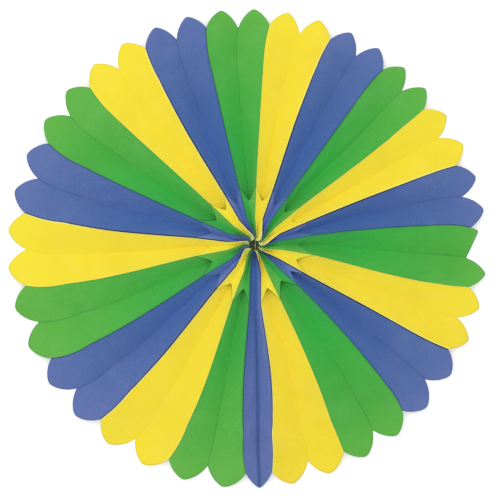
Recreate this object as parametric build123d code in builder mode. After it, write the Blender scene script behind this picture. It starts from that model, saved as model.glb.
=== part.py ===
"""Paper fan rosette: folded tissue sheets glued edge to edge into a ring and tied at the hub.

The fan lies on its back. The origin is the middle of the hub, on the surface that its back rests on.
+Z points to the front, and the narrow closing leaf points along -Y. Angles run clockwise from -Y,
seen from the front, in degrees. Lengths are in mm.
"""

import os
from itertools import pairwise
from math import atan2, cos, degrees, radians, sin, sqrt

from build123d import *

# The ring of lobes. Its centre lies off the hub, because the fan is not opened evenly.
rim_radius = 300.0
rim_centre = Vector(-8.5, -4.5, 0)
ridge_notch_depth = 19.0
valley_notch_depth = 23.0
ridge_side_arc = 40.0
valley_side_arc = 43.0
tip_shares = [0.27, 0.75]

# How far each folded sheet is spread, clockwise from the closing leaf, at the slits and near the rim.
first_ridge_at_slits = 4.4
spread_at_slits = [
    16.6, 19.6, 17.9, 20.7, 17.7, 17.0, 19.1, 16.7, 15.8, 16.5,
    17.0, 16.1, 15.5, 16.1, 13.9, 18.9, 19.8, 13.2, 21.7, 19.4,
]
first_ridge_near_rim = 3.2
spread_near_rim = [
    17.1, 20.0, 18.5, 19.5, 18.4, 18.0, 17.9, 17.5, 16.3, 16.6,
    16.3, 16.2, 16.1, 16.3, 16.0, 18.0, 16.9, 17.7, 19.8, 18.3,
]
colours = ["green", "yellow", "blue"]
sheet_count = len(spread_at_slits)
ridge_count = sheet_count + 1

# The closing leaf spreads a little wider half way out, where the ridges beside it bow, in degrees.
first_ridge_bow = 0.8
last_ridge_bow = -1.6

# It also stays wide near the hub, where the ridges beside it have moved this far aside at the kink.
first_ridge_shift = 2.3
last_ridge_shift = -4.8

# Distances from the hub at which the folds change their height or direction
hub_level = 5.0
kink_level = 35.0
slit_level = 75.0
middle_level = 150.0
rim_level = 237.0

# Heights of the ridges, and of the valleys where they leave the surface
ridge_height_hub = 13.0
ridge_height_kink = 15.0
ridge_height_slits = 17.0
ridge_height_middle = 18.0
ridge_height_lap = 15.0
ridge_height_rim = 10.0
valley_height_hub = 3.0
valley_height_kink = 6.0

# The sheets, and the lip by which each is glued to the next
paper = 0.3
glue_lip = 1.5
loose_lip = 2 * paper

# Near the rim the sheets are not glued. Most lap over the sheet before them, and a few are lapped
# by it, so that each ridge bends aside: this is how far it has moved clockwise at its notch.
lap_length = 62.0
lap_shifts = [-6, 7, 5, 10, 8, 6, 8, 6, 5, 6, 5, 5, 4, -1, 3, 7, -4, -3, 8, 1, 4]
lap_steps = 2

# The slit across each valley: the ears on its hub side stand higher than the tongue on its rim side.
slit_valley_level = 56.0
slit_gap = 0.8
slit_land = 1.4
ear_height = 10.0
tongue_height = 4.0
tongue_start = 50.0

# The hub: the ridges swing clockwise round the eye, and the inner ends are cut on a slant.
eye_radius_front = 10.4
eye_radius_back = 6.0
ridge_twist = 33.0
valley_twist = 10.0
twist_lead = 5.0
twist_rise = 35.0
twist_fall_end = 335.0
twist_fall = 100.0
twist_reverse = 75.0

# The closing leaf has half the width of a sheet and a crease down its middle.
closing_depth_kink = 6.0
closing_depth_slits = 7.0
closing_depth_middle = 8.0
closing_depth_rim = 4.0
closing_side_arc = 48.0

# One sheet has lost a corner: the straight edge that is left runs between these two points.
torn_sheet = 16
torn_outer = Vector(281.3, 18.1, 0)
torn_inner = Vector(266.3, -16.3, 0)

# The tie: a thread through holes in all the leaves. Its two ends come in under two of the ridges.
thread_diameter = 0.5
thread_flats = 6
hole_clearance = 0.3
tie_radius = 9.0
tie_height = 6.0
knot_radius = 0.9
knot_length = 1.6
strand_ridges = [8, 20]

# How far a cutting shape reaches past what it cuts
past = 12.0
past_angle = 5.0
cut_height = ridge_height_middle + past


def direction(angle):
    """Unit vector in the plan at an angle clockwise from -Y."""
    return Vector(-sin(radians(angle)), -cos(radians(angle)), 0)


def clockwise(angle):
    """Unit vector in the plan, square to a direction and pointing clockwise."""
    return Vector(-cos(radians(angle)), sin(radians(angle)), 0)


def rim_distance(angle, inset=0.0):
    """Distance from the hub to the circle of tips, less an inset, along a direction."""
    along = rim_centre.dot(direction(angle))
    across = rim_centre.dot(clockwise(angle))
    return along + sqrt((rim_radius - inset) ** 2 - across**2)


def clockwise_angle(point):
    """Angle of a plan point, clockwise from -Y, between 0 and 360."""
    return degrees(atan2(-point.X, -point.Y)) % 360


def rim_point(angle, inset=0.0):
    """Plan point on the circle of tips, or inset from it, along a direction from the hub."""
    return direction(angle) * rim_distance(angle, inset)


def ridge_angle(ridge, level):
    """Plan angle of a ridge, which turns a little between the slits and the rim."""
    at_slits = first_ridge_at_slits + sum(spread_at_slits[:ridge])
    near_rim = first_ridge_near_rim + sum(spread_near_rim[:ridge])
    share = min(1.0, max(0.0, (level - slit_level) / (rim_level - slit_level)))
    bow = {0: first_ridge_bow, sheet_count: last_ridge_bow}.get(ridge, 0.0)
    return at_slits + (near_rim - at_slits) * share + bow * 4 * share * (1 - share)


def twist_share(angle):
    """Share of the hub twist: all of it on the far side, none or a little backwards by the closing leaf."""
    fall = twist_fall if angle < twist_fall_end else twist_reverse
    return min(1.0, (angle + twist_lead) / twist_rise, (twist_fall_end - angle) / fall)


def ridge_point(ridge, level):
    """Plan point of a ridge at a distance from the hub."""
    angle = ridge_angle(ridge, level)
    if level < kink_level:
        return direction(angle + ridge_twist * twist_share(angle)) * level
    inward = max(0.0, slit_level - level) / (slit_level - kink_level)
    shift = {0: first_ridge_shift, sheet_count: last_ridge_shift}.get(ridge, 0.0)
    return direction(angle) * level + clockwise(angle) * shift * inward


def lap_point(ridge, inset):
    """Plan point of a ridge in the loose stretch, at an inset from the circle of tips."""
    angle = ridge_angle(ridge, rim_level)
    run = min(1.0, (lap_length - inset) / (lap_length - ridge_notch_depth))
    return direction(angle) * rim_distance(angle, inset) + clockwise(angle) * lap_shifts[ridge] * run**2


def tie_point(ridge):
    """Corner of the thread's ring, in the space under a ridge, where the leaves lean over it."""
    angle = ridge_angle(ridge, tie_radius)
    rise = (tie_height - valley_height_hub) / (ridge_height_hub - glue_lip - valley_height_hub)
    twist = valley_twist + (ridge_twist - valley_twist) * rise
    return direction(angle + twist * twist_share(angle)) * tie_radius + Vector(0, 0, tie_height)


def fold_section(first, second, ridge_z, valley_z, lip, valley_shift=0.0):
    """Corners of a section of a folded sheet: two leaves between two ridge points, and their valley.

    The back runs down from one lip to the valley and up to the other. The front is the same line
    moved in by the paper's thickness, with mitred corners.
    """
    half = (second - first).length / 2
    lip_z = ridge_z - lip
    down = Vector(valley_shift + half, valley_z - lip_z).normalized()
    up = Vector(half - valley_shift, lip_z - valley_z).normalized()
    down_normal = Vector(-down.Y, down.X)
    up_normal = Vector(-up.Y, up.X)
    mitre = (down_normal + up_normal) * (paper / (1 + down_normal.dot(up_normal)))
    outline = [
        (-half, ridge_z),
        (-half, lip_z),
        (valley_shift, valley_z),
        (half, lip_z),
        (half, ridge_z),
        (half - paper, ridge_z),
        (half - paper, lip_z + paper * up.X / (1 + up.Y)),
        (valley_shift + mitre.X, valley_z + mitre.Y),
        (paper - half, lip_z + paper * down.X / (1 - down.Y)),
        (paper - half, ridge_z),
    ]
    across = (second - first).normalized()
    return [(first + second) / 2 + across * along + Vector(0, 0, height) for along, height in outline]


def creased_solid(sections):
    """Solid through a row of sections. Each leaf of a strip between two of them is two flat triangles.

    Of the leaf's two diagonals, the crease takes the one that bows the leaf away from the other leaf.
    """
    faces = [Face(Wire.make_polygon(corners)) for corners in (sections[0], sections[-1])]
    for near, far in pairwise(sections):
        turned = []
        for lip, from_lip, from_valley in ((1, 8, 2), (3, 3, 7)):
            away = near[lip] - near[4 - lip]
            swing = near[lip] + far[2] - near[2] - far[lip]
            turned.append(from_lip if swing.dot(away) > 0 else from_valley)
        for corner in range(len(near)):
            a, b = near[corner - 1], near[corner]
            c, d = far[corner], far[corner - 1]
            if corner in turned:
                triangles = [(a, b, d), (b, c, d)]
            else:
                triangles = [(a, b, c), (a, c, d)]
            faces += [Face(Wire.make_polygon(triangle)) for triangle in triangles]
    return Solid(Shell(faces))


def level_section(sheet, level, ridge_z, valley_z):
    """Section of a sheet at a distance from the hub, where the ridges twist further than the valley."""
    first = ridge_point(sheet - 1, level)
    second = ridge_point(sheet % ridge_count, level)
    valley_shift = 0.0
    if level < kink_level:
        share = twist_share((ridge_angle(sheet - 1, level) + ridge_angle(sheet, level)) / 2)
        valley_shift = -level * radians(ridge_twist - valley_twist) * share
    return fold_section(first, second, ridge_z, valley_z, glue_lip, valley_shift)


def loose_sections(sheet, valley_z_start, valley_z_end):
    """Sections of a sheet through its loose stretch, from where the glue ends to past the tips."""
    loose = lap_length - ridge_notch_depth
    sections = []
    for inset in [*[lap_length - loose * step / lap_steps for step in range(lap_steps + 1)], -past]:
        share = (lap_length - inset) / loose
        first = lap_point(sheet - 1, inset)
        second = lap_point(sheet % ridge_count, inset)
        ridge_z = ridge_height_lap + (ridge_height_rim - ridge_height_lap) * share
        valley_z = valley_z_start + (valley_z_end - valley_z_start) * share
        lip = loose_lip if share else glue_lip
        sections.append(fold_section(first, second, ridge_z, valley_z, lip))
    return sections


def rim_waste(edge):
    """What is cut off beyond the lobes. Each step of the edge holds an end point and an arc radius."""
    start = edge[0]
    with BuildSketch() as waste:
        with BuildLine():
            for end, radius in edge[1:]:
                if radius:
                    RadiusArc(start, end, radius)
                else:
                    Line(start, end)
                start = end
            Polyline(
                start,
                direction(clockwise_angle(start) + past_angle) * (rim_radius + 4 * past),
                direction(clockwise_angle(edge[0]) - past_angle) * (rim_radius + 4 * past),
                edge[0],
            )
        make_face()
    return waste.sketch


def side_of_slit(slit_line, outward):
    """Plan shape on one side of the slit line, wider than the sheet."""
    reach = outward * 3 * past
    with BuildSketch() as side:
        Polygon(*slit_line, slit_line[2] + reach, slit_line[0] + reach, align=None)
    return side.sketch


def eye_section(sheet):
    """Section, along the middle of a sheet, of the space that its slanted inner end leaves free."""
    outward = ridge_point(sheet - 1, eye_radius_front) + ridge_point(sheet % ridge_count, eye_radius_front)
    plane = Plane((0, 0, 0), x_dir=outward, z_dir=outward.cross(Vector(0, 0, 1)))
    with BuildSketch(plane) as section:
        Polygon(
            (0, -past),
            (eye_radius_back, -past),
            (eye_radius_back, valley_height_hub),
            (eye_radius_front, ridge_height_hub),
            (eye_radius_front, ridge_height_hub + past),
            (0, ridge_height_hub + past),
            align=None,
        )
    return section.sketch


def thread_section(start, end):
    """Section at the start of a straight stretch of the thread, rounded by its flats."""
    with BuildSketch(Plane(start, z_dir=end - start)) as section:
        RegularPolygon(thread_diameter / 2, thread_flats)
    return section.sketch


def hole_section(start, end):
    """Square section of the hole that a stretch of the thread passes through."""
    side = thread_diameter + 2 * hole_clearance
    with BuildSketch(Plane(start, x_dir=(0, 0, 1), z_dir=end - start)) as section:
        Rectangle(side, side)
    return section.sketch


def folded_sheet(sheet):
    """One folded sheet: an inner part with two ears, and an outer part with a tongue and two lobes."""
    first = ridge_point(sheet - 1, slit_level)
    second = ridge_point(sheet, slit_level)
    outward = (first + second).normalized()
    valley = outward * slit_valley_level
    arms = [first - valley, second - valley]
    slit_line = [first + arms[0] / 5, valley, second + arms[1] / 5]

    with BuildPart() as inner:
        sections = [
            level_section(sheet, hub_level, ridge_height_hub, valley_height_hub),
            level_section(sheet, eye_radius_front, ridge_height_hub, valley_height_hub),
            level_section(sheet, kink_level, ridge_height_kink, valley_height_kink),
            level_section(sheet, slit_level, ridge_height_slits, ear_height),
        ]
        add(creased_solid(sections))
        extrude(side_of_slit(slit_line, outward), amount=cut_height, mode=Mode.SUBTRACT)

    with BuildPart() as whole:
        run = (tongue_start - kink_level) / (slit_level - kink_level)
        start_z = ridge_height_kink + (ridge_height_slits - ridge_height_kink) * run
        fall = (middle_level - slit_level) / (middle_level - tongue_start)
        sections = [
            level_section(sheet, tongue_start, start_z, tongue_height),
            level_section(sheet, slit_level, ridge_height_slits, tongue_height * fall),
            level_section(sheet, middle_level, ridge_height_middle, 0),
            *loose_sections(sheet, 0, 0),
        ]
        add(creased_solid(sections))
        extrude(side_of_slit(slit_line, -outward), amount=cut_height, mode=Mode.SUBTRACT)
        add(inner.part)

        # The slit stops short of the ridges, where the ears and the tongue stay joined.
        slit_share = 1 - slit_land / abs(arms[0].dot(clockwise(clockwise_angle(outward))))
        with BuildSketch():
            slit_edge = [valley + arms[0] * slit_share, valley, valley + arms[1] * slit_share]
            Polygon(*slit_edge, *[point + outward * slit_gap for point in slit_edge[::-1]], align=None)
        extrude(amount=cut_height, mode=Mode.SUBTRACT)

        # Lobes, with each tip at its share of the way from one notch to the next
        notches = [lap_point(sheet - 1, ridge_notch_depth), lap_point(sheet, ridge_notch_depth)]
        start, end = [clockwise_angle(notch) for notch in notches]
        tips = [rim_point(start + (end - start) * share) for share in tip_shares]
        fold_notch = rim_point((start + end) / 2, valley_notch_depth)
        edge = [notches[0], (tips[0], ridge_side_arc), (fold_notch, valley_side_arc)]
        if sheet == torn_sheet:
            edge = [notches[0], (torn_outer, 0), (torn_inner, 0)]
        edge += [(tips[1], valley_side_arc), (notches[1], ridge_side_arc)]
        extrude(rim_waste(edge), amount=cut_height, mode=Mode.SUBTRACT)

        extrude(eye_section(sheet), amount=past, both=True, mode=Mode.SUBTRACT)
        thread = [tie_point(sheet - 1), tie_point(sheet)]
        extrude(hole_section(*thread), amount=(thread[1] - thread[0]).length, mode=Mode.SUBTRACT)
    return whole.part


def closing_leaf():
    """The narrow leaf that closes the ring, from the last ridge to the first."""
    sheet = sheet_count + 1
    with BuildPart() as leaf:
        valley_height_lap = ridge_height_lap - closing_depth_middle
        valley_height_rim = ridge_height_rim - closing_depth_rim
        sections = [
            level_section(sheet, hub_level, ridge_height_hub, valley_height_hub),
            level_section(sheet, eye_radius_front, ridge_height_hub, valley_height_hub),
            level_section(sheet, kink_level, ridge_height_kink, ridge_height_kink - closing_depth_kink),
            level_section(sheet, slit_level, ridge_height_slits, ridge_height_slits - closing_depth_slits),
            level_section(sheet, middle_level, ridge_height_middle, ridge_height_middle - closing_depth_middle),
            *loose_sections(sheet, valley_height_lap, valley_height_rim),
        ]
        add(creased_solid(sections))
        notches = [lap_point(sheet - 1, ridge_notch_depth), lap_point(0, ridge_notch_depth)]
        tip = rim_point(clockwise_angle(notches[0] + notches[1]))
        edge = [notches[0], (tip, closing_side_arc), (notches[1], closing_side_arc)]
        extrude(rim_waste(edge), amount=cut_height, mode=Mode.SUBTRACT)
        extrude(eye_section(sheet), amount=past, both=True, mode=Mode.SUBTRACT)
        thread = [tie_point(sheet - 1), tie_point(0)]
        extrude(hole_section(*thread), amount=(thread[1] - thread[0]).length, mode=Mode.SUBTRACT)
    return leaf.part


os.makedirs("parts", exist_ok=True)

for sheet in range(1, sheet_count + 1):
    part = folded_sheet(sheet)
    part.label = f"{colours[(sheet - 1) % len(colours)]}_sheet_{sheet:02d}"
    export_step(part, f"parts/{part.label}.step")

leaf = closing_leaf()
leaf.label = "blue_closing_leaf"
export_step(leaf, "parts/blue_closing_leaf.step")

# The thread runs through every leaf, and its two ends come in under the ridges to the knot.
with BuildPart() as hub_thread:
    corners = [tie_point(ridge) for ridge in range(ridge_count)]
    with BuildLine() as ring:
        Polyline(*corners, close=True)
    start = (corners[0] + corners[1]) / 2
    sweep(thread_section(start, corners[1]), path=ring, transition=Transition.RIGHT)
    knot = Vector(0, 0, tie_height)
    for ridge in strand_ridges:
        extrude(thread_section(knot, tie_point(ridge)), amount=tie_radius)
    with Locations(knot):
        Cylinder(knot_radius, knot_length)
hub_thread.part.label = "hub_thread"
export_step(hub_thread.part, "parts/hub_thread.step")
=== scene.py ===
"""Paper fan rosette, dressed for rendering: dyed tissue sheets, the closing leaf and the tie at the hub.

Lengths are in metres and angles in degrees, clockwise from -Y as seen from the front. The fan lies on its
back round the origin, with +Z to the front.
"""

import bpy
import numpy as np
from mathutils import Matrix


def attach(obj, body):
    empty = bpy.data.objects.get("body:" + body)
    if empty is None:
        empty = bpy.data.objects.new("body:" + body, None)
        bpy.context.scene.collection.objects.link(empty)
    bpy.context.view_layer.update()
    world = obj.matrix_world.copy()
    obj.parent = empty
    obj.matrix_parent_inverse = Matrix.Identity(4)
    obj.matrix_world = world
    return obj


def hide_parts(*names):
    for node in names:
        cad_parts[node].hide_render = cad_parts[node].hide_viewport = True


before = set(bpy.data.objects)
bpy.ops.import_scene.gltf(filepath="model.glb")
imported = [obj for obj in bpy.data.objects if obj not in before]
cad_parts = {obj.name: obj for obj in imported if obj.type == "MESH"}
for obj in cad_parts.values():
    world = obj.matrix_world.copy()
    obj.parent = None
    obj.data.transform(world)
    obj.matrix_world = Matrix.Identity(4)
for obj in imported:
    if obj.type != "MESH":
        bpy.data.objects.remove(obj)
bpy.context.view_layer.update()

# Folded sheets
# Twenty sheets of thin dyed tissue, green, yellow and blue in turn. Each is cut with two lobes and a slit,
# folded into a valley down its middle, and glued along its two ridges to its neighbours by standing lips.

sheet_count = 20
ring_radius = 0.300
ring_centre = np.array([-0.0085, -0.0045])

# The cut edge: how deep the notches are, the radii of the two arcs of a lobe, and where its tips lie
ridge_notch_depth = 0.0190
valley_notch_depth = 0.0230
ridge_side_arc = 0.040
valley_side_arc = 0.043
tip_shares = [0.27, 0.75]
tip_rounding = 0.0014

# Where the ridges run: the angle of the first, the angle between each two, and how far each bows out between
# the slits and the rim. The ridges beside the closing leaf also stand aside near the hub.
first_ridge_at_slits = 4.4
first_ridge_near_rim = 3.2
spread_at_slits = [
    16.6, 19.6, 17.9, 20.7, 17.7, 17.0, 19.1, 16.7, 15.8, 16.5,
    17.0, 16.1, 15.5, 16.1, 13.9, 18.9, 19.8, 13.2, 21.7, 19.4,
]
spread_near_rim = [
    17.1, 20.0, 18.5, 19.5, 18.4, 18.0, 17.9, 17.5, 16.3, 16.6,
    16.3, 16.2, 16.1, 16.3, 16.0, 18.0, 16.9, 17.7, 19.8, 18.3,
]
ridges_at_slits = first_ridge_at_slits + np.concatenate([[0], np.cumsum(spread_at_slits)])
ridges_near_rim = first_ridge_near_rim + np.concatenate([[0], np.cumsum(spread_near_rim)])
ridge_bows = [
    0.8, -1.25, -0.95, -0.85, -1.15, -1.1, -0.2, -0.25, -0.7, 0.1,
    0.1, -0.6, 0.2, 0.75, 0.05, 0.15, 1.35, -0.3, -0.1, -0.45, -1.5,
]
ridge_shifts = {0: 0.0023, 20: -0.0048}

# Levels are distances from the hub along a leaf. At the kink the leaf turns from taut to folded. The slit
# lies nearer the hub in the valley than at the ridges, its arms bow, and its tongue is tucked under the ears.
kink_level = 0.035
slit_level = 0.075
rim_level = 0.237
slit_valley_level = 0.056
slit_bow = 0.0015
tuck = 0.0010

# Where each ridge ends at the hub: how far it swings clockwise, and its distance from the middle. From there
# the cut edge runs to a bend by the eye and on to the end of the valley.
ridge_twists = [19, 27, 31, 34, 28, 29, 46, 27, 41, 33, 20, 43, 33, 24, 35, 22, 21, 9, 5, -4, -18]
ridge_ends = 0.001 * np.array([
    8.5, 10.5, 11.2, 10.6, 10.2, 8.4, 10.8, 10, 8.7, 10.4,
    10.4, 10.8, 10.6, 10.4, 11.1, 10.5, 10.5, 9, 10, 10.4, 8.5,
])
ridge_end_height = 0.0126
bend_share = 0.4
bend_end = 0.0057
bend_height = 0.0066
bend_twist = 2.0
first_bend_twist = 2
first_bend_drop = 0.0006
valley_end = 0.0002
valley_end_height = 0.0010
valley_twist = 12.0
hub_lean_turn = 20
hub_lip_share = 0.7

# Heights of the ridges and of the valley, how much the paper bellies between them, and how soft the fold is
ridge_levels = [0.035, 0.075, 0.150, 0.238, 0.281]
ridge_heights = [0.0138, 0.0155, 0.0165, 0.0145, 0.0095]
valley_beyond_slit = ([0.05, 0.075, 0.150, 0.3], [0.0035, 0.003, 0.0004, 0.0004])
inner_valley_levels = [0.035, 0.055, 0.075]
inner_valley_heights = [0.0075, 0.0035, 0.0050]
belly_share = 0.014
fold_softness = 0.0002
pucker_count = 12
puckers_along = 110
puckers_across = 4.5
pucker_height = 0.00022
pucker_start = 0.03
pucker_run = 0.05

# The paper and its lips. They are glued up to glue_end short of the tips. There the upper lip lies down slowly
# and the lower one at once, and the lower sheet runs on under the upper, which lifts by a little.
paper = 0.0002
seam_gap = 0.00022
lip_height = 0.0013
lip_leans = [-0.00015, 0.0002, -0.0005]
lean_turn = 8
lean_run = 0.06
glue_end = 0.062
lip_lead = 0.022
over_run = 0.018
under_run = 0.006
underlap = 0.0045
underlap_run = 0.012
under_drop = 0.0004
loose_start = 0.006
loose_run = 0.034
over_lift = 0.0005
under_sink = 0.0003
loose_share = 0.6
lap_shifts = 0.001 * np.array([-6, 7, 5, 10, 8, 6, 8, 6, 5, 6, 5, 5, 4, -1, 3, 7, -4, -3, 8, 1, 4])

# How far the ears of each slit stand above its tongue, how dark the painted shade along the slit's edge is, and
# how faded the dye of each half is
ear_lifts = 0.001 * np.array([8, 5, 2, 6, 0.4, 2, 6, 6, 2, 8, 4, 2, 4, 1, 1, 1, 4, 8, 9, 9])
slit_shadows = [1, 0.7, 0.3, 0.9, 0.1, 0.5, 0.9, 0.9, 0.3, 1, 0.7, 0.3, 0.6, 0.2, 0.2, 0.3, 0.8, 1, 1, 1]
fading = [
    (1.1, 0.6), (0.3, 0.25), (0.9, 0.2), (0.9, 1.1), (0, 0), (0.3, 0.8), (0, 1.2), (0.1, 0.1), (0, 0), (0, 0.7),
    (0.1, 0.35), (0, 0), (0, 0.5), (0, 0.2), (0.3, 0), (0, 0.3), (0.1, 0.45), (0.4, 0), (0, 0), (0.6, 0.8),
]

# Painted shade on the tongue under the ears, and the painted light and shade along the glued edge, which narrows
# or widens between two levels
slit_shadow_inset = 0.0009
shade_width = 0.0015
shade_blur = 0.0010
second_ear_shade = 0.45
narrow_levels = [0.020, 0.050]
edge_narrowing = {"green": 1.0, "yellow": 2.2, "blue": 0.7}

# Rows and columns of points in a sheet
inner_rows = 26
hub_rows = 16
outer_rows = 78
lobe_columns = 15
lip_columns = np.array([0.35, 0.7, 1.0])


def heading(angle):
    """Unit vectors in the plan at angles clockwise from -Y: minus the sine, minus the cosine."""
    turn = np.radians(angle)
    return np.stack([-np.sin(turn), -np.cos(turn)], axis=-1)


def sideways(angle):
    """Unit vectors in the plan, square to the headings and pointing clockwise."""
    turn = np.radians(angle)
    return np.stack([-np.cos(turn), np.sin(turn)], axis=-1)


def smooth(share):
    """Smooth step: three times the square less twice the cube of a share that is held to 0..1."""
    share = np.clip(share, 0, 1)
    return share * share * (3 - 2 * share)


def ring_reach(angle, inset=0.0):
    """Distance from the hub to the circle of tips: the heading's part of the centre plus half a chord."""
    along = heading(angle) @ ring_centre
    across = sideways(angle) @ ring_centre
    return along + np.sqrt((ring_radius - inset) ** 2 - across**2)


def ridge_angle(ridge, level):
    """Angle of a ridge.

    It turns evenly from its place at the slits to its place near the rim, and bows out between them by a
    parabola.
    """
    share = np.clip((level - slit_level) / (rim_level - slit_level), 0, 1)
    near, far = ridges_at_slits[ridge], ridges_near_rim[ridge]
    return near + (far - near) * share + ridge_bows[ridge] * 4 * share * (1 - share)


def ridge_plan(ridge, level):
    """Plan points of a ridge. In the loose stretch it bends aside by the square of the run.

    The ridges beside the closing leaf also stand aside near the hub, in proportion to the way from the
    slits to the kink.
    """
    angle = ridge_angle(ridge, level)
    start = ring_reach(angle, glue_end)
    run = np.clip((level - start) / (glue_end - ridge_notch_depth), 0, 1)
    inward = np.clip((slit_level - level) / (slit_level - kink_level), 0, 1)
    aside = lap_shifts[ridge] * run**2 + ridge_shifts.get(ridge, 0) * inward
    return heading(angle) * level[..., None] + sideways(angle) * aside[..., None]


def crumple(across, level, seed):
    """Faint puckers of the tissue: the sum of cosine waves across and along the leaf with random phases."""
    rng = np.random.default_rng(seed)
    along = rng.normal(0, puckers_along, pucker_count)
    sides = rng.normal(0, puckers_across, pucker_count)
    phase = rng.uniform(0, 2 * np.pi, pucker_count)
    size = rng.uniform(0.3, 1, pucker_count) * pucker_height
    waves = np.cos(level[..., None] * along + across[..., None] * sides + phase)
    return (waves * size).sum(axis=-1)


def side_lean(first, second, across):
    """How far a lip leans aside, which goes by the two colours that meet at its ridge."""
    return np.where(across < 0, lip_leans[first % 3], lip_leans[second % 3])


def sheet_points(first, second, across, lip, level, seed, valley_levels, valley_heights):
    """Points of a sheet at levels outside the kink.

    across runs from -1 at the first ridge through 0 at the valley to 1 at the second, and lip from 0 at a
    ridge to -1 or 1 at the raw edge beyond it. The plan point is the middle of the two ridge points plus
    its share of the way to one of them. The height falls evenly from ridge to valley, with a slight belly
    and faint puckers.
    A glued lip leans up from the ridge; a loose one runs on under the neighbour that laps over it.
    """
    sides = np.where((across < 0)[..., None], ridge_plan(first, level), ridge_plan(second, level))
    middle = (ridge_plan(first, level) + ridge_plan(second, level)) / 2
    share = np.abs(across)
    half = np.linalg.norm(ridge_plan(second, level) - middle, axis=-1)
    plan = middle + (share * (1 - seam_gap / half))[..., None] * (sides - middle)

    top = np.interp(level, ridge_levels, ridge_heights)
    bottom = np.interp(level, valley_levels, valley_heights)
    belly = np.sin(np.pi * share) * belly_share * half
    fold = np.sqrt(share**2 + fold_softness) - np.sqrt(fold_softness)
    height = bottom + (top - bottom) * fold + belly
    puckers = crumple(across, level, seed) * np.sin(np.pi * share) ** 0.5
    height = height + puckers * smooth((level - pucker_start) / pucker_run)

    # The lip: glued it leans to one side, loose it runs on below the neighbour that laps over it
    over = np.where(across < 0, lap_shifts[first] > 0, lap_shifts[second] <= 0)
    free = glue_end + lip_lead - (ring_reach(ridge_angle(first, level)) - level)
    standing = 1 - smooth(free / np.where(over, over_run, under_run))
    reach = np.where(over, 0.0, underlap) * smooth(free / underlap_run) * (1 - standing) ** 4
    drop = reach * (top - bottom) / half + np.where(over, 0.0, under_drop) * (1 - standing)
    aside = standing * smooth(-free / lean_run) * side_lean(first, second, across) * np.abs(lip) + reach * lip
    height = height + (standing * lip_height - drop) * np.abs(lip)
    loose = smooth((free - loose_start) / loose_run)
    flutter = np.where(over, over_lift, -under_sink) * smooth((share - loose_share) / (1 - loose_share))
    height = height + loose * flutter
    plan = plan + sideways(ridge_angle(first, level) + lean_turn) * aside[..., None]
    return np.concatenate([plan, height[..., None]], axis=-1)


def arc_reach(angle, start, end, radius):
    """Distance from the hub to an arc through two points that bulges away from the hub.

    The arc's centre lies on the hub's side of the chord's middle, and the reach is the heading's part
    of the centre plus half of the chord that the heading cuts from the circle. Where the heading misses the
    circle, the chord is held just above nothing.
    """
    chord = end - start
    length = np.linalg.norm(chord)
    normal = np.array([chord[1], -chord[0]]) / length
    normal = normal * np.sign(normal @ (start + end))
    centre = (start + end) / 2 - normal * np.sqrt(radius**2 - length**2 / 4)
    along = heading(angle) @ centre
    across = sideways(angle) @ centre
    return along + np.sqrt(np.maximum(radius**2 - across**2, 1e-9))


def lobe_reach(angle, lobes, split):
    """Distance from the hub to the cut edge: in each lobe the nearer of its two arcs, blended at the tip.

    The blend is the logarithm of the sum of the two exponentials, which rounds the tip a little. The split is
    the angle at which one lobe ends and the next begins.
    """
    reaches = []
    for start, tip, end, start_radius, end_radius in lobes:
        one = arc_reach(angle, start, tip, start_radius)
        two = arc_reach(angle, tip, end, end_radius)
        reaches.append(-tip_rounding * np.logaddexp(-one / tip_rounding, -two / tip_rounding))
    return np.where(angle < split, reaches[0], reaches[-1])


def plan_angle(plan, near):
    """Angle of plan points clockwise from -Y, within half a turn of a given angle."""
    angle = np.degrees(np.arctan2(-plan[..., 0], -plan[..., 1]))
    return near + (angle - near + 180) % 360 - 180


def grid_mesh(name, grids):
    """One mesh of several grids of points.

    Each grid holds points, UVs, distances to the glued and the cut edges, and the shade under a slit. The
    quads join each point to its neighbours in the next row and column.
    """
    points, uvs, edges, cuts, shades, faces, start = [], [], [], [], [], [], 0
    for xyz, uv, edge, cut, shade in grids:
        rows, columns = edge.shape
        index = start + np.arange(rows * columns).reshape(rows, columns)
        quads = np.stack([index[:-1, :-1], index[:-1, 1:], index[1:, 1:], index[1:, :-1]], axis=-1)
        faces.append(quads.reshape(-1, 4))
        points.append(xyz.reshape(-1, 3))
        uvs.append(uv.reshape(-1, 2))
        edges.append(edge.ravel())
        cuts.append(cut.ravel())
        shades.append(shade.ravel())
        start += rows * columns
    faces = np.concatenate(faces)
    uvs = np.concatenate(uvs)
    mesh = bpy.data.meshes.new(name)
    mesh.from_pydata(np.concatenate(points).tolist(), [], faces.tolist())
    layer = mesh.uv_layers.new(name="UVMap")
    layer.data.foreach_set("uv", uvs[faces.ravel()].ravel())
    for label, values in (("edge", edges), ("cut", cuts), ("shade", shades)):
        attribute = mesh.attributes.new(label, "FLOAT", "POINT")
        attribute.data.foreach_set("value", np.concatenate(values))
    mesh.polygons.foreach_set("use_smooth", np.ones(len(faces), dtype=bool))
    mesh.update()
    piece = bpy.data.objects.new(name, mesh)
    bpy.context.scene.collection.objects.link(piece)
    return piece


def linear(colour):
    """A colour given as 0..255 screen values, made linear with the exponent 2.2, with an alpha of 1."""
    return [(channel / 255) ** 2.2 for channel in colour] + [1.0]


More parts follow.
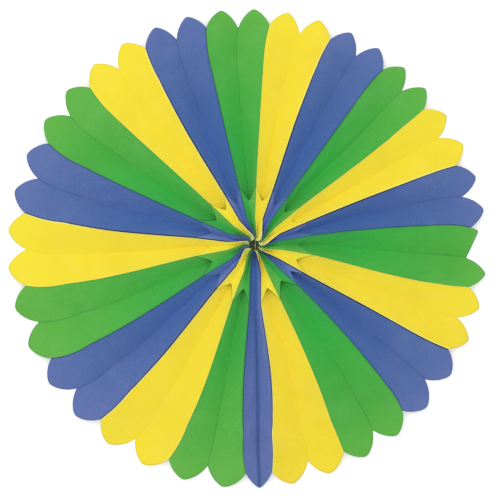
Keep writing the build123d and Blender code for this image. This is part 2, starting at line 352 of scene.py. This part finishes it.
def tissue(
    name, stops, edge_light_and_shade, edge_light_amounts, edge_width, ridge_light_tints, ridge_light_amounts, half_light_and_shade, valley_painted_light, faded, crease_shade
):
    """Matt dyed tissue. The stops give its colour along the leaf, which the UV's second coordinate follows.

    The stops hold the dye with painted light and shade in it: a near-black painted shade in the eye, lighter
    ears and a darker tongue under them. Painted light bounced from each neighbouring leaf colours the leaf
    beside the ridge that the two share, most of it near the hub; on the closing leaf these tints paint one
    side lighter and the other darker. On the hub's side of the slit each half has painted light and shade of
    its own, and beyond it the floor of the valley has a little painted light. The faded colour comes in by
    each point's fading. The glued edges get painted light and shade from the edge colour, each by its own
    amount: a highlight where it is pale, a shadow line where it is dark. The cut edges are darker lines, with
    painted shade by the slit, and the fold and the slit have painted shade. The last argument gives where the
    fold's painted shade begins and where it is full, its width and its strength. Patches, clouds, grain and
    faint creases come from noise in Object coordinates.
    """
    material = bpy.data.materials.new(name)
    material.use_nodes = True
    nodes, links = material.node_tree.nodes, material.node_tree.links
    shader = nodes["Principled BSDF"]
    shader.inputs["Roughness"].default_value = 0.86
    shader.inputs["Specular IOR Level"].default_value = 0.18
    shader.inputs["Sheen Weight"].default_value = 0.08
    shader.inputs["Sheen Roughness"].default_value = 0.6

    uv = nodes.new("ShaderNodeUVMap")
    uv.uv_map = "UVMap"
    parts = nodes.new("ShaderNodeSeparateXYZ")
    links.new(uv.outputs["UV"], parts.inputs[0])
    across, run = parts.outputs["X"], parts.outputs["Y"]
    place = nodes.new("ShaderNodeTexCoord")

    ramp = nodes.new("ShaderNodeValToRGB")
    links.new(run, ramp.inputs["Fac"])
    elements = ramp.color_ramp.elements
    elements[0].position, elements[1].position = stops[0][0], stops[-1][0]
    elements[0].color, elements[1].color = linear(stops[0][1]), linear(stops[-1][1])
    for position, colour in stops[1:-1]:
        elements.new(position).color = linear(colour)

    def mix(colour, tint, factor, amount):
        """Mixes a tint over a colour by a factor times an amount."""
        scale = nodes.new("ShaderNodeMath")
        scale.operation = "MULTIPLY"
        scale.inputs[1].default_value = amount
        links.new(factor, scale.inputs[0])
        blend = nodes.new("ShaderNodeMix")
        blend.data_type = "RGBA"
        blend.inputs["B"].default_value = tint
        links.new(scale.outputs[0], blend.inputs["Factor"])
        links.new(colour, blend.inputs["A"])
        return blend.outputs["Result"]

    def product(first, second):
        """Two values multiplied."""
        node = nodes.new("ShaderNodeMath")
        node.operation = "MULTIPLY"
        links.new(first, node.inputs[0])
        links.new(second, node.inputs[1])
        return node.outputs[0]

    def smooth_range(value, start, end, low=0.0, high=1.0):
        """Smooth step of a value, from low at start to high at end."""
        node = nodes.new("ShaderNodeMapRange")
        node.interpolation_type = "SMOOTHSTEP"
        node.inputs["From Min"].default_value = start
        node.inputs["From Max"].default_value = end
        node.inputs["To Min"].default_value = low
        node.inputs["To Max"].default_value = high
        links.new(value, node.inputs["Value"])
        return node.outputs["Result"]

    def noise(scale, detail, kind="FBM"):
        """Noise in Object coordinates."""
        node = nodes.new("ShaderNodeTexNoise")
        node.noise_type = kind
        node.inputs["Scale"].default_value = scale
        node.inputs["Detail"].default_value = detail
        links.new(place.outputs["Object"], node.inputs["Vector"])
        return node.outputs["Fac"]

    def attribute(label):
        """A value that the mesh gives at each point."""
        node = nodes.new("ShaderNodeAttribute")
        node.attribute_name = label
        return node.outputs["Fac"]

    def bump(height, strength, distance):
        """Bump from a height."""
        node = nodes.new("ShaderNodeBump")
        node.inputs["Strength"].default_value = strength
        node.inputs["Distance"].default_value = distance
        links.new(height, node.inputs["Height"])
        return node

    # Four shades made from the stops: a darker one for painted shade in the fold and at the cut edges and for
    # clouds, one near black for the painted shade in the slit, a lighter one for the painted light in the valley
    # and a pale one
    dark = [channel * 0.6 for channel in linear(stops[5][1])[:3]] + [1.0]
    deep = [channel * 0.12 for channel in dark[:3]] + [1.0]
    light = [min(1.0, channel * 1.5) for channel in linear(stops[7][1])[:3]] + [1.0]
    pale = [0.75 * channel + 0.25 for channel in linear(stops[-1][1])[:3]] + [1.0]

    # Painted light bounced from the neighbouring leaves beside the ridges, and painted light and shade on each
    # half on the hub's side of the slit
    colour = ramp.outputs["Color"]
    inward = smooth_range(run, 0.7, 0.04, 0.15, 1.5)
    for neighbour, amount, start, end in zip(ridge_light_tints, ridge_light_amounts, (0.38, 0.62), (0.0, 1.0)):
        colour = mix(colour, linear(neighbour), product(smooth_range(across, start, end), inward), amount)
    hub_side = smooth_range(run, 0.249, 0.246)
    # Each half on the hub's side of the slit gets painted light and shade of its own
    for (tint, amount), start, end in zip(half_light_and_shade, (0.53, 0.47), (0.45, 0.55)):
        colour = mix(colour, linear(tint), product(smooth_range(across, start, end), hub_side), amount)

    # Painted light on the floor of the valley, the faded dye and the painted shade of the fold
    shift = nodes.new("ShaderNodeMath")
    shift.operation = "SUBTRACT"
    shift.inputs[1].default_value = 0.5
    links.new(across, shift.inputs[0])
    absolute = nodes.new("ShaderNodeMath")
    absolute.operation = "ABSOLUTE"
    links.new(shift.outputs[0], absolute.inputs[0])
    away = absolute.outputs[0]
    floor = product(smooth_range(away, 0.27, 0.0), smooth_range(run, 0.72, 0.38))
    colour = mix(colour, light, floor, valley_painted_light)
    mottle = product(attribute("fade"), smooth_range(noise(300, 4), 0.35, 0.65, 0.5, 1.0))
    colour = mix(colour, linear(faded), mottle, 0.7)
    # The fold's line gets painted shade
    crease_start, crease_full, crease_width, crease_strength = crease_shade
    fold = product(smooth_range(away, crease_width, 0.0), smooth_range(run, crease_start, crease_full))
    colour = mix(colour, dark, fold, crease_strength)

    # Painted light and shade along the glued edges, the darker cut edges with painted shade by the slit, and the
    # painted shade in the slit
    nearness = smooth_range(attribute("edge"), edge_width, edge_width * 0.4)
    by_side = smooth_range(across, 0.45, 0.55, *edge_light_amounts)
    colour = mix(colour, linear(edge_light_and_shade), product(nearness, by_side), 1.0)
    colour = mix(colour, dark, smooth_range(attribute("cut"), 0.0011, 0.0003), 0.3)
    colour = mix(colour, deep, attribute("shade"), 0.75)

    # Patches of paler dye towards the rim, clouds and grain
    patch = product(smooth_range(noise(30, 3), 0.45, 0.75), smooth_range(run, 0.4, 0.8))
    colour = mix(colour, pale, patch, 0.07)
    colour = mix(colour, dark, smooth_range(noise(14, 3), 0.42, 0.75), 0.12)
    colour = mix(colour, [1, 1, 1, 1], smooth_range(noise(750, 4), 0.45, 0.8), 0.05)
    links.new(colour, shader.inputs["Base Color"])

    grain = bump(noise(1400, 5), 0.25, 0.0002)
    creases = bump(noise(26, 5, "RIDGED_MULTIFRACTAL"), 0.32, 0.0012)
    links.new(grain.outputs["Normal"], creases.inputs["Normal"])
    links.new(creases.outputs["Normal"], shader.inputs["Normal"])
    return material


# The first stop of each paper is a near-black painted shade for the eye. The stops up to 0.235 hold the ears,
# painted lighter, and those from 0.25 hold the tongue, painted darker where it lies under them.
papers = {
    "green": tissue(
        "green_tissue",
        [
            (0.0185, (10, 20, 12)), (0.0235, (50, 180, 80)), (0.10, (56, 182, 78)), (0.14, (55, 168, 70)),
            (0.235, (68, 176, 72)), (0.25, (62, 168, 70)), (0.30, (58, 169, 67)), (0.46, (52, 174, 66)),
            (0.65, (64, 174, 64)), (0.83, (76, 173, 64)), (1.0, (98, 179, 70)),
        ],
        edge_light_and_shade=(22, 84, 48), edge_light_amounts=(0.4, 0.05), edge_width=0.0010,
        ridge_light_tints=[(66, 98, 166), (246, 222, 56)], ridge_light_amounts=(0.08, 0.035),
        half_light_and_shade=[((20, 160, 60), 0.3), ((130, 190, 70), 0.3)],
        valley_painted_light=0.22, faded=(98, 181, 72), crease_shade=(0.45, 0.65, 0.018, 0.5),
    ),
    "yellow": tissue(
        "yellow_tissue",
        [
            (0.0185, (28, 24, 12)), (0.0235, (255, 244, 84)), (0.10, (250, 238, 72)), (0.14, (250, 234, 60)),
            (0.235, (253, 238, 58)), (0.25, (254, 232, 62)), (0.30, (246, 226, 60)), (0.46, (247, 226, 56)),
            (0.65, (248, 226, 53)), (0.83, (248, 225, 50)), (1.0, (250, 230, 52)),
        ],
        edge_light_and_shade=(254, 250, 160), edge_light_amounts=(0.2, 0.8), edge_width=0.0015,
        ridge_light_tints=[(60, 166, 66), (66, 98, 166)], ridge_light_amounts=(0.12, 0.07),
        half_light_and_shade=[((240, 232, 60), 0.1), ((228, 206, 60), 0.25)],
        valley_painted_light=0.0, faded=(240, 206, 46), crease_shade=(0.6, 1.0, 0.010, 0.25),
    ),
    "blue": tissue(
        "blue_tissue",
        [
            (0.0185, (12, 12, 22)), (0.0235, (110, 134, 202)), (0.10, (112, 138, 204)), (0.14, (102, 126, 188)),
            (0.235, (110, 132, 196)), (0.25, (82, 116, 182)), (0.30, (68, 108, 170)), (0.46, (65, 101, 166)),
            (0.65, (70, 102, 164)), (0.83, (79, 106, 165)), (1.0, (94, 113, 172)),
        ],
        edge_light_and_shade=(18, 24, 46), edge_light_amounts=(1.0, 0.4), edge_width=0.0012,
        ridge_light_tints=[(246, 222, 56), (60, 166, 66)], ridge_light_amounts=(0.02, 0.03),
        half_light_and_shade=[((126, 146, 190), 0.1), ((40, 104, 172), 0.35)],
        valley_painted_light=0.32, faded=(97, 116, 175), crease_shade=(0.45, 0.65, 0.022, 0.7),
    ),
}


def column_values():
    """Across and lip values of a sheet's columns, closer together at the folds, the tips and the ridges."""
    turn = (1 - np.cos(np.linspace(0, np.pi, lobe_columns + 1))) / 2
    across = np.unique(np.concatenate([start + turn / 2 for start in (-1, -0.5, 0, 0.5)]).round(6))
    count = len(lip_columns)
    across = np.concatenate([-np.ones(count), across, np.ones(count)])
    lip = np.zeros(len(across))
    lip[:count], lip[-count:] = -lip_columns[::-1], lip_columns
    return across, lip


def edge_levels(first, second, across, lip, lobes, split, seed):
    """Level at which each column meets the cut edge, found by scaling it five times by its shortfall."""
    level = np.full(across.shape, ring_radius - valley_notch_depth)
    for _ in range(5):
        plan = sheet_points(first, second, across, lip, level, seed, [0, 1], [0, 0])[..., :2]
        wanted = lobe_reach(plan_angle(plan, split), lobes, split)
        level = level * wanted / np.linalg.norm(plan, axis=-1)
    return level


def inner_cut(first, second, across, lip, half_spread):
    """Points of a sheet's inner cut edge.

    In straight lines it runs in from the end of the ridge to a bend by the eye, and from there down to the end
    of the valley.
    """
    middle_angle = split_angle(first, second, kink_level)
    first_end = heading(ridge_angle(first, kink_level) + ridge_twists[first]) * ridge_ends[first]
    second_end = heading(ridge_angle(second, kink_level) + ridge_twists[second]) * ridge_ends[second]
    side = np.where(across < 0, -1.0, 1.0)
    bend_angle = middle_angle + bend_twist + side * np.degrees(half_spread) + (side < 0) * first_bend_twist
    bend = heading(bend_angle) * bend_end
    valley = heading(middle_angle + valley_twist) * valley_end
    ends = np.where((across < 0)[:, None], first_end, second_end)
    upper = np.clip((np.abs(across) - bend_share) / (1 - bend_share), 0, 1)[:, None]
    lower = np.clip(np.abs(across) / bend_share, 0, 1)[:, None]
    plan = valley + lower * (bend - valley) + upper * (ends - bend)
    height = valley_end_height + lower * (bend_height - valley_end_height)
    height = height + upper * (ridge_end_height - bend_height)
    height = height - first_bend_drop * (side < 0)[:, None] * lower * (1 - upper)
    lean = side_lean(first, second, across) * np.abs(lip)
    plan = plan + sideways(middle_angle + hub_lean_turn) * lean[:, None]
    height = height + (lip_height * hub_lip_share * np.abs(lip))[:, None]
    return np.concatenate([plan, height], axis=-1)


def folded_sheet(name, first, second, lobes, split, slit, seed, outer_valley, inner_valley, slit_shadow, fade, narrow):
    """Mesh of a sheet: the part from the hub to the slit, and the part from the slit to the lobes.

    From the inner cut edge to the kink the surface is ruled by straight lines, since the paper is
    pulled taut to the tie. Beyond it the rows follow the levels of the ridges. A sheet without a slit is one
    grid. Each of the two valleys is a list of levels and one of heights. The slit's shadow gives how dark the
    painted shade along the slit is, fade holds the fading of each half, and the last value multiplies the
    distance to the painted light and shade of the glued edge near the hub.
    """
    across, lip = column_values()
    half_spread = np.radians(ridge_angle(second, slit_level) - ridge_angle(first, slit_level)) % (2 * np.pi) / 2
    share = np.abs(across)
    flat = np.cos(half_spread)
    if slit:
        slit_line = slit_valley_level / (flat - share * (flat - slit_valley_level / slit_level))
        slit_line = slit_line - slit_bow * np.sin(np.pi * share) ** 2
    else:
        slit_line = np.full(across.shape, slit_level)

    def rows_between(start, end, rows, valley):
        """Points of the sheet in even rows between two lines of levels."""
        level = start + (end - start) * np.linspace(0, 1, rows)[:, None]
        wide, wide_lip = np.broadcast_to(across, level.shape), np.broadcast_to(lip, level.shape)
        return sheet_points(first, second, wide, wide_lip, level, seed, *valley)

    def from_ridge(reach):
        """Distance to the nearer ridge: the share of the half sheet's width at that reach, nothing on a lip."""
        return (1 - share) * reach * np.tan(half_spread) * np.where(lip == 0, 1, 0)

    def with_across(run):
        """UVs: the place across the sheet, and the run along it."""
        return np.stack([np.broadcast_to(0.5 + across / 2, run.shape), run], axis=-1)

    # From the kink to the slit, and the hub part ruled between the cut edge and the kink
    xyz = rows_between(kink_level, slit_line, inner_rows, inner_valley)
    inner_edge = inner_cut(first, second, across, lip, half_spread)
    rows = np.linspace(0, 1, hub_rows)[:-1, None, None]
    xyz = np.concatenate([inner_edge + (xyz[0] - inner_edge) * rows, xyz])
    reach = np.linalg.norm(xyz[..., :2], axis=-1)
    from_end = np.linalg.norm(xyz - inner_edge, axis=-1)
    edge = np.where(share < bend_share, 1.0, np.minimum(from_ridge(reach), from_end))
    edge = edge * np.interp(reach, narrow_levels, [narrow, 1.0])
    # The run starts at the near-black stops by the eye, which paint the shade there
    if slit:
        run = np.minimum(reach / ring_radius, 0.245)
        # Painted shade along the ears' cut edge, moved off the edge where the slit's shadow is faint
        cut = np.linalg.norm(xyz - xyz[-1], axis=-1) + slit_shadow_inset * (1 - slit_shadow)
    else:
        run = np.interp(reach, [0.0055, 0.0085, slit_level], [0.0185, 0.29, 0.308])
        cut = np.ones(reach.shape)
    grids = [(xyz, with_across(run), edge, cut, np.zeros(reach.shape))]

    # Outer part, from the slit, where its tongue is tucked under the ears, to the cut edge of the lobes
    start = slit_line - tuck * (1 - share) if slit else slit_line
    end = edge_levels(first, second, across, lip, lobes, split, seed)
    xyz = rows_between(start, end, outer_rows, outer_valley)
    reach = np.linalg.norm(xyz[..., :2], axis=-1)
    cut = np.linalg.norm(xyz - xyz[-1], axis=-1)
    run = 0.25 + 0.75 * (reach - slit_valley_level) / (ring_radius - slit_valley_level)
    shade = np.zeros(reach.shape)
    if slit:
        from_slit = np.linalg.norm(xyz - xyz[0], axis=-1) - tuck * (1 - share)
        by_ear = slit_shadow * np.where(across < 0, 1.0, second_ear_shade)
        shade = by_ear * smooth((shade_width - from_slit) / shade_blur) * np.sin(np.pi * share) ** 0.3
    grids.append((xyz, with_across(run), from_ridge(reach), cut, shade))
    if not slit:
        grids = [[np.concatenate([near, far[1:]]) for near, far in zip(*grids)]]
    piece = grid_mesh(name, grids)

    # Fading by half, stronger towards the rim
    uv = np.concatenate([grid[1].reshape(-1, 2) for grid in grids])
    by_half = fade[0] + (fade[1] - fade[0]) * smooth((uv[:, 0] - 0.46) / 0.08)
    attribute = piece.data.attributes.new("fade", "FLOAT", "POINT")
    attribute.data.foreach_set("value", by_half * (0.3 + 0.7 * smooth((uv[:, 1] - 0.4) / 0.5)))
    return piece


def split_angle(first, second, level):
    """Angle half way between two ridges, going clockwise from the first."""
    start = ridge_angle(first, level)
    return start + (ridge_angle(second, level) - start) % 360 / 2


def finish_paper(piece, node, colour):
    """Gives a sheet its thickness and tissue, and lets it stand for its CAD node."""
    wall = piece.modifiers.new("thickness", "SOLIDIFY")
    wall.thickness = paper
    wall.offset = -1
    piece.data.materials.append(papers[colour])
    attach(piece, "root")
    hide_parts(node)


def lap_notch(ridge):
    """Plan point of the notch over a ridge."""
    angle = ridge_angle(ridge, rim_level)
    return heading(angle) * ring_reach(angle, ridge_notch_depth) + sideways(angle) * lap_shifts[ridge]


def lobe_tip(angle):
    """Plan point where the two arcs of a lobe would meet, which the rounding brings back to the ring."""
    return heading(angle) * (ring_reach(angle) + tip_rounding * 0.6)


torn_sheet = 16
torn_outer = np.array([0.2813, 0.0181])
torn_inner = np.array([0.2663, -0.0163])
straight = 5.0
colours = ["green", "yellow", "blue"]
for sheet in range(1, sheet_count + 1):
    notches = [lap_notch(sheet - 1), lap_notch(sheet)]
    start = plan_angle(notches[0], ridge_angle(sheet - 1, rim_level))
    spread = plan_angle(notches[1], ridge_angle(sheet, rim_level)) - start
    tips = [lobe_tip(start + spread * share) for share in tip_shares]
    split = start + spread / 2
    fold = heading(split) * ring_reach(split, valley_notch_depth)
    lobes = [
        (notches[0], tips[0], fold, ridge_side_arc, valley_side_arc),
        (fold, tips[1], notches[1], valley_side_arc, ridge_side_arc),
    ]
    if sheet == torn_sheet:
        split = plan_angle(torn_inner, split)
        lobes[0] = (notches[0], torn_outer, torn_inner, straight, straight)
        lobes[1] = (torn_inner, tips[1], notches[1], valley_side_arc, ridge_side_arc)
    colour = colours[(sheet - 1) % 3]
    name = f"{colour}_sheet_{sheet:02d}"
    lifted = inner_valley_heights + ear_lifts[sheet - 1] * np.array([0, 1, 1])
    piece = folded_sheet(
        f"{colour}_tissue_{sheet:02d}", sheet - 1, sheet, lobes, split, True, sheet, valley_beyond_slit,
        (inner_valley_levels, lifted), slit_shadows[sheet - 1], fading[sheet - 1], edge_narrowing[colour],
    )
    finish_paper(piece, name, colour)

# Closing leaf
# A single narrow blue leaf between the last sheet and the first. It is cut with one lobe and no slit, has a
# shallow crease down its middle, and is glued by its lips like the sheets.

closing_arc = 0.048
closing_valley = (ridge_levels, [0.009, 0.010, 0.010, 0.007, 0.006])
closing_seed = 21
notches = [lap_notch(sheet_count), lap_notch(0)]
split = plan_angle(notches[0] + notches[1], split_angle(sheet_count, 0, rim_level))
closing_lobe = [(notches[0], lobe_tip(split), notches[1], closing_arc, closing_arc)]
# Its tints beside the ridges paint one half lighter and the other darker, as light and shade on the two sides of
# its crease; a wide painted shade lies along the crease, and its glued edges get a painted shadow line.
papers["leaf"] = tissue(
    "leaf_tissue",
    [
        (0.0185, (12, 12, 22)), (0.0235, (88, 110, 180)), (0.10, (88, 110, 180)), (0.20, (80, 108, 174)),
        (0.26, (74, 104, 168)), (0.29, (60, 103, 170)), (0.33, (72, 102, 166)), (0.46, (80, 104, 166)),
        (0.65, (88, 108, 168)), (0.83, (94, 110, 168)), (1.0, (94, 113, 170)),
    ],
    edge_light_and_shade=(26, 34, 60), edge_light_amounts=(0.7, 0.5), edge_width=0.0010,
    ridge_light_tints=[(122, 138, 190), (40, 84, 130)], ridge_light_amounts=(0.9, 0.5),
    half_light_and_shade=[((80, 108, 174), 0), ((80, 108, 174), 0)],
    valley_painted_light=0.0, faded=(97, 116, 175), crease_shade=(0.30, 0.38, 0.12, 0.8),
)
piece = folded_sheet(
    "blue_tissue_leaf", sheet_count, 0, closing_lobe, split, False, closing_seed, closing_valley, closing_valley,
    slit_shadow=0, fade=(0.4, 0.4), narrow=0.8,
)
finish_paper(piece, "blue_closing_leaf", "leaf")

# Tie
# A thin grey cotton thread, two plies twisted together. It runs in a ring through a hole in every leaf, and
# its two ends come in to a small knot in the middle of the eye.

thread_radius = 0.0003
tie_radius = 0.0090
tie_height = 0.0060
tie_twist_share = 0.6
ply_turn = 0.0016
ply_radius_share = 0.55
ply_sides = 6
off_path = [0.13, 0.21, 0.97]
knot_centre = np.array([0.0014, -0.0004, 0.0056])
knot_size = 0.00026
knot_swell = 1.3
knot_points = 90
strand_points = 12
end_arch = 0.0026


def ply_tube(name, path, radius, closed=False):
    """Two plies twisted round a path of points.

    The path is resampled to even steps. At each step a frame of two vectors square to the path, made by cross
    products with a direction that the path doesn't take, turns with the distance run. Each ply is a small ring
    of points at half the radius from the path.
    """
    line = np.vstack([path, path[:1]]) if closed else path
    steps = np.linalg.norm(np.diff(line, axis=0), axis=1)
    run = np.concatenate([[0], np.cumsum(steps)])
    count = max(8, int(run[-1] / (ply_turn / 8)))
    along = np.linspace(0, run[-1], count)
    centre = np.stack([np.interp(along, run, line[:, axis]) for axis in range(3)], axis=1)
    tangent = np.gradient(centre, axis=0)
    tangent /= np.linalg.norm(tangent, axis=1, keepdims=True)
    side = np.cross(tangent, off_path)
    side /= np.linalg.norm(side, axis=1, keepdims=True)
    other = np.cross(tangent, side)
    ring = np.linspace(0, 2 * np.pi, ply_sides + 1)
    grids = []
    for ply in range(2):
        turn = (along / ply_turn * 2 * np.pi + ply * np.pi)[:, None]
        axis_point = centre + (side * np.cos(turn) + other * np.sin(turn)) * radius / 2
        around = side[:, None] * np.cos(ring)[:, None] + other[:, None] * np.sin(ring)[:, None]
        xyz = axis_point[:, None] + around * radius * ply_radius_share
        uv = np.stack(np.broadcast_arrays(ring / (2 * np.pi), (along * 100)[:, None]), axis=-1)
        far = np.ones(xyz.shape[:2])
        grids.append((xyz, uv, far, far, 0 * far))
    return grid_mesh(name, grids)


cotton = bpy.data.materials.new("grey_cotton")
cotton.use_nodes = True
nodes, links = cotton.node_tree.nodes, cotton.node_tree.links
shader = nodes["Principled BSDF"]
shader.inputs["Roughness"].default_value = 0.9
place = nodes.new("ShaderNodeTexCoord")
stain = nodes.new("ShaderNodeTexNoise")
stain.inputs["Scale"].default_value = 420
stain.inputs["Detail"].default_value = 3
links.new(place.outputs["Object"], stain.inputs["Vector"])
ramp = nodes.new("ShaderNodeValToRGB")
ramp.color_ramp.elements[0].position = 0.35
ramp.color_ramp.elements[0].color = linear((96, 72, 58))
ramp.color_ramp.elements[1].position = 0.6
ramp.color_ramp.elements[1].color = linear((190, 188, 176))
links.new(stain.outputs["Fac"], ramp.inputs["Fac"])
links.new(ramp.outputs["Color"], shader.inputs["Base Color"])

ties = np.arange(sheet_count + 1)
tie_angles = np.array([ridge_angle(ridge, tie_radius) + ridge_twists[ridge] * tie_twist_share for ridge in ties])
ring_path = np.concatenate([heading(tie_angles) * tie_radius, np.full((len(ties), 1), tie_height)], axis=1)
pieces = [ply_tube("tie_ring", ring_path, thread_radius, closed=True)]
for label, ridge in (("tie_end_back", 10), ("tie_end_front", 20)):
    share = np.linspace(0, 1, strand_points)[:, None]
    strand = knot_centre + (ring_path[ridge] - knot_centre) * share
    strand[:, 2] += np.sin(np.pi * share[:, 0]) * end_arch
    pieces.append(ply_tube(label, strand, thread_radius))
turn = np.linspace(0, 2 * np.pi, knot_points)
knot_path = knot_centre + knot_size * np.stack(
    [np.sin(turn) + 2 * np.sin(2 * turn), np.cos(turn) - 2 * np.cos(2 * turn), -1.6 * np.sin(3 * turn)], axis=1
)
pieces.append(ply_tube("tie_knot", knot_path[:-1], thread_radius * knot_swell, closed=True))
for piece in pieces:
    piece.data.materials.append(cotton)
    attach(piece, "root")
    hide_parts("hub_thread")

# Table, light and camera
# The fan is photographed lying face up on a white table under wide soft light, from straight above.

def seen_directly(nodes, links):
    """1 for what the camera sees directly or in a reflection, and 0 for the light given to other surfaces."""
    rays = nodes.new("ShaderNodeLightPath")
    seen = nodes.new("ShaderNodeMath")
    seen.operation = "MAXIMUM"
    links.new(rays.outputs["Is Camera Ray"], seen.inputs[0])
    links.new(rays.outputs["Is Glossy Ray"], seen.inputs[1])
    return seen.outputs[0]


bpy.ops.mesh.primitive_plane_add(size=6.0, location=(0, 0, -0.0002))
table = bpy.context.object
table.name = "table"
white = bpy.data.materials.new("white_table")
white.use_nodes = True
nodes, links = white.node_tree.nodes, white.node_tree.links
shader = nodes["Principled BSDF"]
shader.inputs["Base Color"].default_value = (0.86, 0.86, 0.86, 1)
shader.inputs["Roughness"].default_value = 0.9
shader.inputs["Emission Color"].default_value = (1, 1, 1, 1)
glow = nodes.new("ShaderNodeMath")
glow.operation = "MULTIPLY"
glow.inputs[1].default_value = 0.36
links.new(seen_directly(nodes, links), glow.inputs[0])
links.new(glow.outputs[0], shader.inputs["Emission Strength"])
table.data.materials.append(white)

world = bpy.data.worlds.new("studio")
bpy.context.scene.world = world
world.use_nodes = True
nodes, links = world.node_tree.nodes, world.node_tree.links
background = nodes["Background"]
background.inputs["Color"].default_value = (1, 1, 1, 1)
strength = nodes.new("ShaderNodeMapRange")
strength.inputs["To Min"].default_value = 0.82
strength.inputs["To Max"].default_value = 1.0
links.new(seen_directly(nodes, links), strength.inputs["Value"])
links.new(strength.outputs["Result"], background.inputs["Strength"])

lamp = bpy.data.lights.new("soft_box", "AREA")
lamp.shape = "SQUARE"
lamp.size = 1.4
lamp.energy = 9
soft_box = bpy.data.objects.new("soft_box", lamp)
soft_box.location = (-0.5, 0.7, 1.9)
soft_box.rotation_euler = (-0.35, -0.25, 0)
bpy.context.scene.collection.objects.link(soft_box)

# The picture is 493 by 500 pixels of 1.25 mm, and the hub lies at pixel (254, 245).
view_height = 0.625
view_distance = 3.0
paper_height = 0.012
lens = bpy.data.cameras.new("camera")
lens.sensor_fit = "VERTICAL"
lens.sensor_height = 24.0
lens.lens = lens.sensor_height * (view_distance - paper_height) / view_height
camera = bpy.data.objects.new("camera", lens)
camera.location = (-0.009375, -0.00625, view_distance)
bpy.context.scene.collection.objects.link(camera)
bpy.context.scene.camera = camera
bpy.context.scene.view_settings.view_transform = "Standard"
